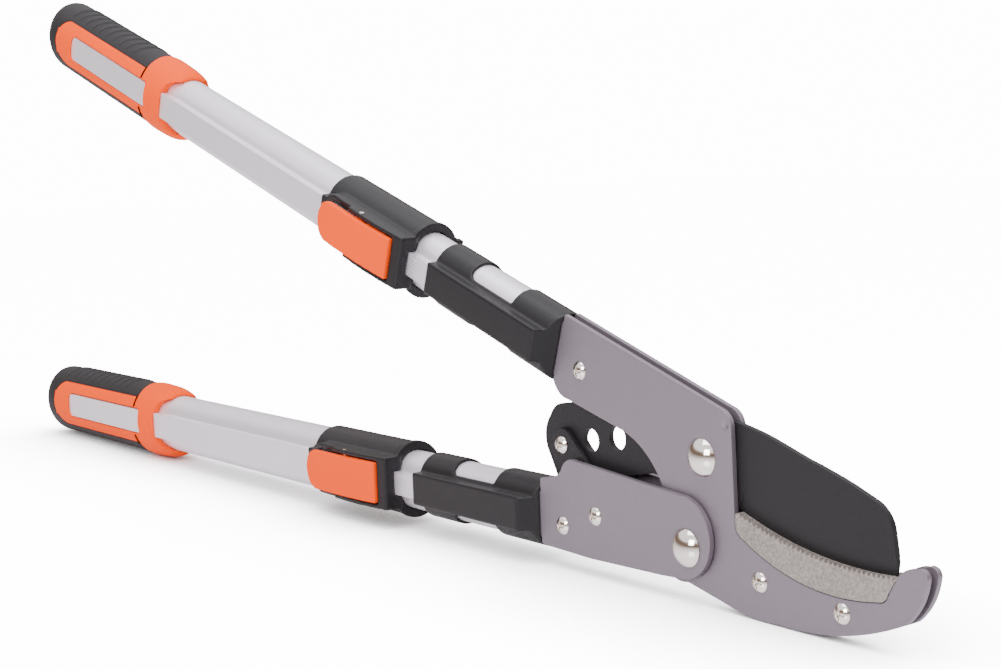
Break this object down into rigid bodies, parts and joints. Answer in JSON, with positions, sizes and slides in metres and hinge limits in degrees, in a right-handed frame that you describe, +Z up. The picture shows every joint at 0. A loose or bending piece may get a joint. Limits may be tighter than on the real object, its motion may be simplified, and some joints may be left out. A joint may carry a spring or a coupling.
{
  "type": "telescopic anvil loppers",
  "caption": "Telescopic anvil loppers: curved blade closing on a serrated anvil, compound lever linkage, extending tube handles with lock buttons and soft grips.",
  "frame": {"origin": "centre of the footprint, on the floor that the belly of the hook and the lower grip touch", "axes": "+X along the tool towards the jaw, +Y across it towards the nuts, +Z up; closed, handles pushed in"},
  "size_m": [0.6686, 0.0356, 0.2494],
  "materials": {
    "plate_grey": "satin grey coating",
    "blade_black": "matt black low-friction coating",
    "anvil_grey": "grainy cast",
    "fastener_bright": "bright plated",
    "steel": "plain",
    "tube_silver": "satin anodised",
    "plastic_black": "fine matt",
    "plastic_orange": "semi-gloss",
    "rubber_dark": "soft matt"
  },
  "bodies": {
    "head": {"jaw_plate_front": "plate_grey", "jaw_plate_back": "plate_grey", "anvil": "anvil_grey", "anvil_screws": "fastener_bright", "anvil_nuts": "fastener_bright", "blade_pivot_bolt": "fastener_bright", "blade_pivot_nut": "fastener_bright", "lever_pivot_bolt": "fastener_bright", "lever_pivot_nut": "fastener_bright", "lever_spacer": "steel", "lever_washers": "steel", "upper_sleeve": "plastic_black", "upper_inner_tube": "tube_silver", "upper_guide_bush": "plastic_black", "upper_sleeve_screw": "fastener_bright", "upper_sleeve_nut": "fastener_bright"},
    "lever": {"lever_plate_front": "plate_grey", "lever_plate_back": "plate_grey", "lower_sleeve": "plastic_black", "lower_inner_tube": "tube_silver", "lower_guide_bush": "plastic_black", "lower_sleeve_screw": "fastener_bright", "lower_sleeve_nut": "fastener_bright", "link_pivot_screw": "fastener_bright", "link_pivot_nut": "fastener_bright"},
    "blade": {"blade": "blade_black", "tail_pivot_screw": "fastener_bright", "tail_pivot_nut": "fastener_bright"},
    "link": {"link_plate_front": "blade_black", "link_plate_back": "blade_black"},
    "upper_tube": {"upper_outer_tube": "tube_silver", "upper_lock_housing": "plastic_black", "upper_button_pin": "fastener_bright", "upper_grip_core": "plastic_orange", "upper_grip_rubber": "rubber_dark"},
    "lower_tube": {"lower_outer_tube": "tube_silver", "lower_lock_housing": "plastic_black", "lower_button_pin": "fastener_bright", "lower_grip_core": "plastic_orange", "lower_grip_rubber": "rubber_dark"},
    "upper_button": {"upper_release_button": "plastic_orange"},
    "lower_button": {"lower_release_button": "plastic_orange"}
  },
  "joints": [
    {"name": "lever_hinge", "type": "hinge", "parent": "head", "child": "lever", "pos_m": [0.22915, 0.0026, 0.02009], "axis": [0, -1, 0], "range_deg": [0, 52]},
    {"name": "blade_hinge", "type": "hinge", "parent": "head", "child": "blade", "pos_m": [0.23495, 0.0026, 0.05249], "axis": [0, -1, 0], "range_deg": [0, 33]},
    {"name": "link_hinge", "type": "hinge", "parent": "blade", "child": "link", "pos_m": [0.15675, 0.0026, 0.04769], "axis": [0, -1, 0], "range_deg": [-32.7, 0]},
    {"name": "upper_slide", "type": "slide", "parent": "head", "child": "upper_tube", "axis": [-0.9489, 0, 0.3156], "range_m": [0, 0.28]},
    {"name": "upper_button_hinge", "type": "hinge", "parent": "upper_tube", "child": "upper_button", "pos_m": [0.03783, -0.014, 0.12462], "axis": [-0.3156, 0, -0.9489], "range_deg": [0, 6], "stiffness_Nm_per_rad": 0.1, "springref_deg": -28.65},
    {"name": "lower_slide", "type": "slide", "parent": "lever", "child": "lower_tube", "axis": [-1, 0, 0], "range_m": [0, 0.28]},
    {"name": "lower_button_hinge", "type": "hinge", "parent": "lower_tube", "child": "lower_button", "pos_m": [0.01955, -0.014, 0.01979], "axis": [0, 0, -1], "range_deg": [0, 6], "stiffness_Nm_per_rad": 0.1, "springref_deg": -28.65}
  ],
  "couplings": [
    {"joint": "blade_hinge", "follows": "lever_hinge", "ratio": 0.6308},
    {"joint": "link_hinge", "follows": "lever_hinge", "ratio": -0.625}
  ]
}
